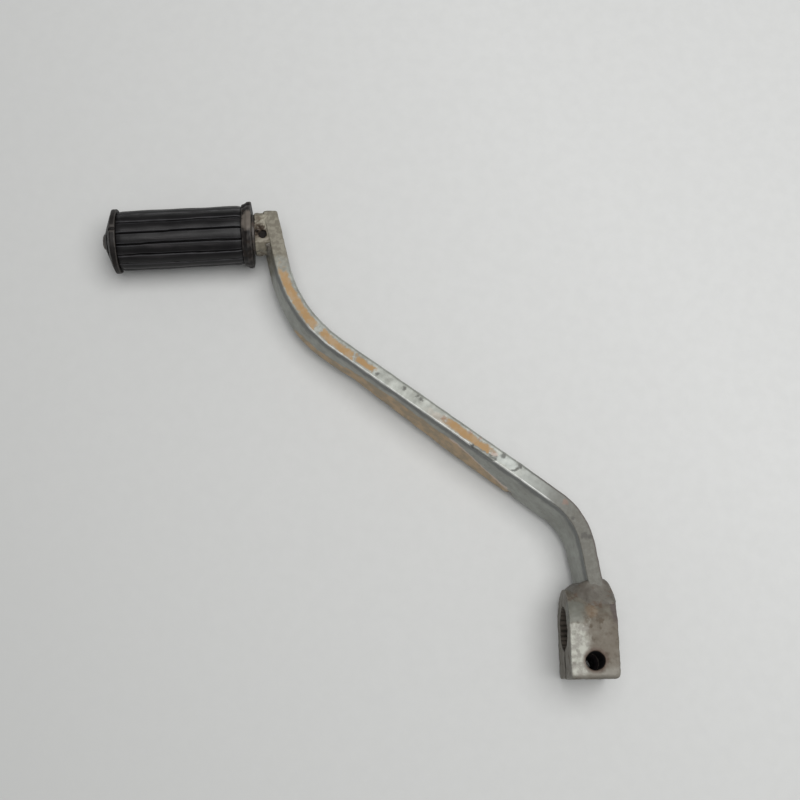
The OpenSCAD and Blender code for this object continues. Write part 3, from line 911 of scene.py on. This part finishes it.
foot = both(tree, on_flat, within(tree, y_rag, -20.0, -14.6, 0.9))
brown_flat = both(tree, on_flat, within(tree, x_rag, -2.6, 40.0, 1.2))
blotch = use(tree, mottle, {"Size mm": 3.0, "Detail": 6.0, "From": 0.38, "To": 0.6, "Seed": 14.0})
brown_flat = both(tree, brown_flat, plus(tree, 0.5, blotch, 0.5))
colour = tint(tree, brown_flat, 0.8, colour, (0.095, 0.077, 0.056))
colour = tint(tree, foot, 0.4, colour, (0.27, 0.26, 0.23))
rubbed_mix = mix(tree, use(tree, mottle, {"Size mm": 2.4, "Detail": 5.0, "From": 0.4, "To": 0.6,
                                          "Seed": 15.0}),
                 (0.22, 0.21, 0.185), (0.36, 0.36, 0.315))
colour = tint(tree, rubbed, 0.9, colour, rubbed_mix)
true_gap = distance(tree, put(tree, "CombineXYZ", {0: x, 1: y, 2: 0.0}), HOLE_AT)
hole_gap = plus(tree, true_gap, drift, 1.6)
ring = both(tree, on_flat, near_to(tree, hole_gap, RING_R, 0.7))
colour = tint(tree, ring, 0.85, colour, (0.075, 0.05, 0.036))
# Painted shade: the bore and the slit are darkened nearly to black, and the tips of the bore's teeth less.
bore_gap = distance(tree, put(tree, "CombineXYZ", {0: 0.0, 1: y, 2: z}), (0.0, 0.0, 0.0))
in_bore = near_to(tree, bore_gap, BORE_WALL, 0.2)
in_slit = both(tree, within(tree, z, -SLIT_HALF, SLIT_HALF, 0.1),
               calc(tree, "LESS_THAN", y, SLIT_TOP))
colour = tint(tree, either(tree, in_bore, in_slit), 0.85, colour, (0.025, 0.020, 0.016))
tooth = both(tree, in_bore, near_to(tree, bore_gap, TOOTH_TIP, 0.12))
colour = tint(tree, tooth, 0.7, colour, (0.12, 0.10, 0.082))
# Painted shade: the walls of the pinch-bolt hole are darkened to black.
in_hole = both(tree, calc(tree, "LESS_THAN", true_gap, HOLE_WALL), calc(tree, "LESS_THAN", z, 13.4))
colour = tint(tree, in_hole, 0.97, colour, (0.006, 0.004, 0.005))
inside = either(tree, in_hole, in_bore, in_slit)
metal = calc(tree, "MULTIPLY", metal, without(tree, inside))
rough = either(tree, rough, inside)
spot_gap = plus(tree, distance_mm(tree, (-0.5, 5.2, 12.8)), drift, 3.0)
orange = near_to(tree, spot_gap, 2.2, 0.9)
colour = tint(tree, orange, 0.4, colour, (0.21, 0.145, 0.09))
green = both(tree, within(tree, x_rag, -30.0, -3.2, 1.2),
             within(tree, y_rag, 1.5, 8.5, 1.0),
             calc(tree, "GREATER_THAN", z, 7.0))
colour = tint(tree, green, 0.55, colour, (0.155, 0.165, 0.145))
violet = both(tree, within(tree, x_rag, 6.2, 30.0, 0.9),
              within(tree, y_rag, 0.0, 9.0, 1.5))
colour = tint(tree, violet, 0.6, colour, (0.075, 0.055, 0.058))
finish(tree, shader, colour, rough, relief, 0.35, 0.1, metal)
shader.inputs["Specular IOR Level"].default_value = 0.3
boss.data.materials.append(worn)

# %% Stub and weld metal
stub_finish, tree, shader, *parts = rusted("tarnished_stub", (0.16, 0.14, 0.105), (0.24, 0.22, 0.17),
                                           (0.09, 0.062, 0.042), (0.26, 0.24, 0.19), 0.5, 0.15)
gap = plus(tree, distance_mm(tree, (-118.5, 148.8, 5.8)), centred_noise(tree, 2.0, 5.0, 22.0), 3.0)
rust_ring = near_to(tree, gap, 2.6, 0.6)
parts[0] = tint(tree, rust_ring, 0.8, parts[0], (0.055, 0.034, 0.023))
core = near_to(tree, gap, 1.5, 0.4)
parts[0] = tint(tree, core, 0.9, parts[0], (0.008, 0.006, 0.005))
finish(tree, shader, parts[0], parts[1], parts[2], 0.6, 0.15, parts[3])
stub.data.materials.append(stub_finish)
weld_finish, tree, shader, *parts = rusted("weld_bead", (0.088, 0.076, 0.062), (0.128, 0.117, 0.098),
                                           (0.10, 0.068, 0.048), (0.17, 0.16, 0.135), 0.35, 0.1)
finish(tree, shader, parts[0], parts[1], parts[2], 0.6, 0.15, parts[3])
boss_weld.data.materials.append(weld_finish)
stub_weld.data.materials.append(weld_finish)

# %% [markdown]
# ## Finish of the peg's steel and rubber
# The end plates are nearly black with brown rust, and the inner plate has a lighter patch on
# its upper face that is partly worn metal and partly painted light. The rubber is dark grey and
# hardened, with scuffs and dust, a painted highlight along the raised edges of its ribs and
# painted shade in the grooves.

# %% Dark plates
dark, tree, shader, *parts = rusted("dark_plate", (0.0075, 0.006, 0.0056), (0.015, 0.0125, 0.0115),
                                    (0.024, 0.017, 0.013), (0.062, 0.055, 0.050), 0.5, 0.05)
# Painted light and wear: a lighter patch on the inner plate's upper face, where it faces the lamp and is
# rubbed.
gap = plus(tree, distance_mm(tree, (-121.2, 150.7, 11.8)), centred_noise(tree, 2.5, 5.0, 24.0), 5.0)
rubbed = near_to(tree, gap, 4.0, 0.8)
parts[0] = tint(tree, rubbed, 0.85, parts[0], (0.14, 0.12, 0.102))
finish(tree, shader, parts[0], parts[1], parts[2], 0.5, 0.12, parts[3])
shader.inputs["Specular IOR Level"].default_value = 0.2
for piece in (plate, cap, washer):
    piece.data.materials.append(dark)
pin, tree, shader, *parts = rusted("pin_steel", (0.05, 0.043, 0.038), (0.09, 0.08, 0.07),
                                   (0.06, 0.035, 0.022), (0.14, 0.13, 0.12), 0.4)
finish(tree, shader, parts[0], parts[1], parts[2], 0.4, 0.1, parts[3])
spindle.data.materials.append(pin)

# %% Rubber
rubber_finish, tree, shader = start("hardened_rubber")
cloud = use(tree, mottle, {"Size mm": 6.0, "Detail": 6.0, "From": 0.35, "To": 0.65, "Seed": 31.0})
colour = mix(tree, cloud, (0.0040, 0.0036, 0.0039), (0.0072, 0.0064, 0.0068))
# Painted highlight: the raised edges of the ribs are tinted pale grey.
raised = use(tree, edge_wear_and_painted_light, {"From": 0.1, "To": 1.0, "Break up": 0.6}, "Raised")
colour = tint(tree, raised, 0.85, colour, (0.034, 0.033, 0.036))
# Painted shade: the grooves between the ribs are darkened almost to black.
hollow = use(tree, edge_wear_and_painted_light, {"From": 0.1, "To": 0.7, "Break up": 0.3}, "Hollow")
colour = tint(tree, hollow, 0.8, colour, (0.003, 0.003, 0.003))
STRETCH = (0.06, 1.0, 1.0)     # draws the scuffs out along the peg
along = put(tree, "VectorMath", {0: put(tree, "TexCoord", out="Object"), 1: STRETCH},
            operation="MULTIPLY")
streak = put(tree, "TexNoise", {"Vector": along, "Scale": 1 / (1.6 * MM), "Detail": 4.0, "Roughness": 0.6})
scuff = put(tree, "MapRange", {"Value": streak, "From Min": 0.52, "From Max": 0.72},
            interpolation_type="SMOOTHSTEP")
colour = tint(tree, scuff, 0.7, colour, (0.026, 0.023, 0.024))
dust = use(tree, mottle, {"Size mm": 1.2, "Detail": 6.0, "From": 0.6, "To": 0.75, "Seed": 33.0})
colour = tint(tree, dust, 0.35, colour, (0.06, 0.055, 0.05))
rough = plus(tree, 0.42, dust, 0.35)
grain = use(tree, mottle, {"Size mm": 0.6, "Detail": 4.0, "Seed": 35.0}, "Noise")
grain = plus(tree, grain, streak, 1.5)
finish(tree, shader, colour, rough, grain, 0.35, 0.12)
shader.inputs["Specular IOR Level"].default_value = 0.22
rubber.data.materials.append(rubber_finish)

# %% CAD nodes that stay as they are
rusty_pin, tree, shader, *parts = rusted("rusty_pin", (0.008, 0.006, 0.005), (0.014, 0.010, 0.008),
                                         (0.030, 0.017, 0.011), (0.020, 0.014, 0.011), 0.4, 0.0)
finish(tree, shader, parts[0], parts[1], parts[2], 0.6, 0.12, parts[3])
shader.inputs["Specular IOR Level"].default_value = 0.08
bronze, tree, shader, *parts = rusted("bush_bronze", (0.30, 0.19, 0.09), (0.38, 0.26, 0.13),
                                      (0.12, 0.08, 0.05), (0.5, 0.38, 0.22), 0.2, 0.8)
finish(tree, shader, parts[0], parts[1], parts[2], 0.2, 0.05, parts[3])
for node, material in [("spindle_cross_pin", rusty_pin), ("inner_thrust_washer", pin),
                       ("grip_tube", pin), ("inner_bush", bronze), ("outer_bush", bronze)]:
    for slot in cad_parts[node].material_slots:
        slot.material = material
print("kept CAD nodes finished")

# %% [markdown]
# ## Floor, light and camera
# The lever lies on pale card under one broad round lamp, almost overhead and a little to the
# right, with a weak surround filling the shadows. The card's own grey changes slowly from one
# side to the other, which stands for uneven light. The camera looks down at a slant.

# %% Pale card
CARD, CARD_GAP = 6000, 0.2
low_z = cad_box[0][2] / MM - CARD_GAP
card = new_piece("card", np.array([[-CARD, -CARD, low_z], [CARD, -CARD, low_z],
                                   [CARD, CARD, low_z], [-CARD, CARD, low_z]]), [[0, 1, 2, 3]])
card_finish, tree, shader = start("pale_card")
fibre = use(tree, mottle, {"Size mm": 5.0, "Detail": 6.0, "From": 0.3, "To": 0.7, "Seed": 41.0})
colour = mix(tree, fibre, (0.60, 0.60, 0.59), (0.62, 0.62, 0.61))
where = put(tree, "TexCoord", out="Object")
x, y = [put(tree, "SeparateXYZ", {0: where}, k) for k in range(2)]
slope = plus(tree, x, y, 0.6)
shade = put(tree, "MapRange", {"Value": slope, "From Min": -0.35, "From Max": 0.12})
colour = mix(tree, shade, (0.43, 0.43, 0.42), colour)
# Painted shade: the card darkens a little more towards the near end, for uneven light.
near_end_shade = put(tree, "MapRange", {"Value": y, "From Min": -0.13, "From Max": 0.06,
                                  "To Min": 0.35, "To Max": 0.0})
colour = mix(tree, near_end_shade, colour, (0.47, 0.475, 0.465))
grain = use(tree, mottle, {"Size mm": 2.0, "Detail": 4.0, "Seed": 43.0}, "Noise")
finish(tree, shader, colour, plus(tree, 0.7, grain, 0.2), grain, 0.1, 0.1)
card.data.materials.append(card_finish)

# %% Light
lamp = bpy.data.lights.new("soft_box", "AREA")
LAMP_AT, LAMP_AIM = Vector((0.12, 0.04, 1.2)), Vector((-0.06, 0.07, 0))
lamp.shape, lamp.size, lamp.energy = "DISK", 1.1, 15.6
soft_box = bpy.data.objects.new("soft_box", lamp)
bpy.context.scene.collection.objects.link(soft_box)
soft_box.location = LAMP_AT
soft_box.rotation_euler = (LAMP_AIM - LAMP_AT).to_track_quat("-Z", "Y").to_euler()
world = bpy.data.worlds.new("surround")
bpy.context.scene.world = world
world.use_nodes = True
surround = world.node_tree.nodes["Background"]
surround.inputs["Color"].default_value = (0.96, 0.99, 1.0, 1)
surround.inputs["Strength"].default_value = 0.26
bpy.context.scene.view_settings.view_transform = "Standard"

# %% Camera
lens = bpy.data.cameras.new("camera")
lens.sensor_width, lens.lens, lens.clip_start = 36.0, 58.5, 0.01
camera = bpy.data.objects.new("camera", lens)
bpy.context.scene.collection.objects.link(camera)
camera.matrix_world = (Matrix.Translation((-0.08194, -0.04457, 0.46339))
                       @ Matrix.Rotation(math.radians(15.53), 4, "X")
                       @ Matrix.Rotation(math.radians(-1.94), 4, "Y"))
bpy.context.scene.camera = camera
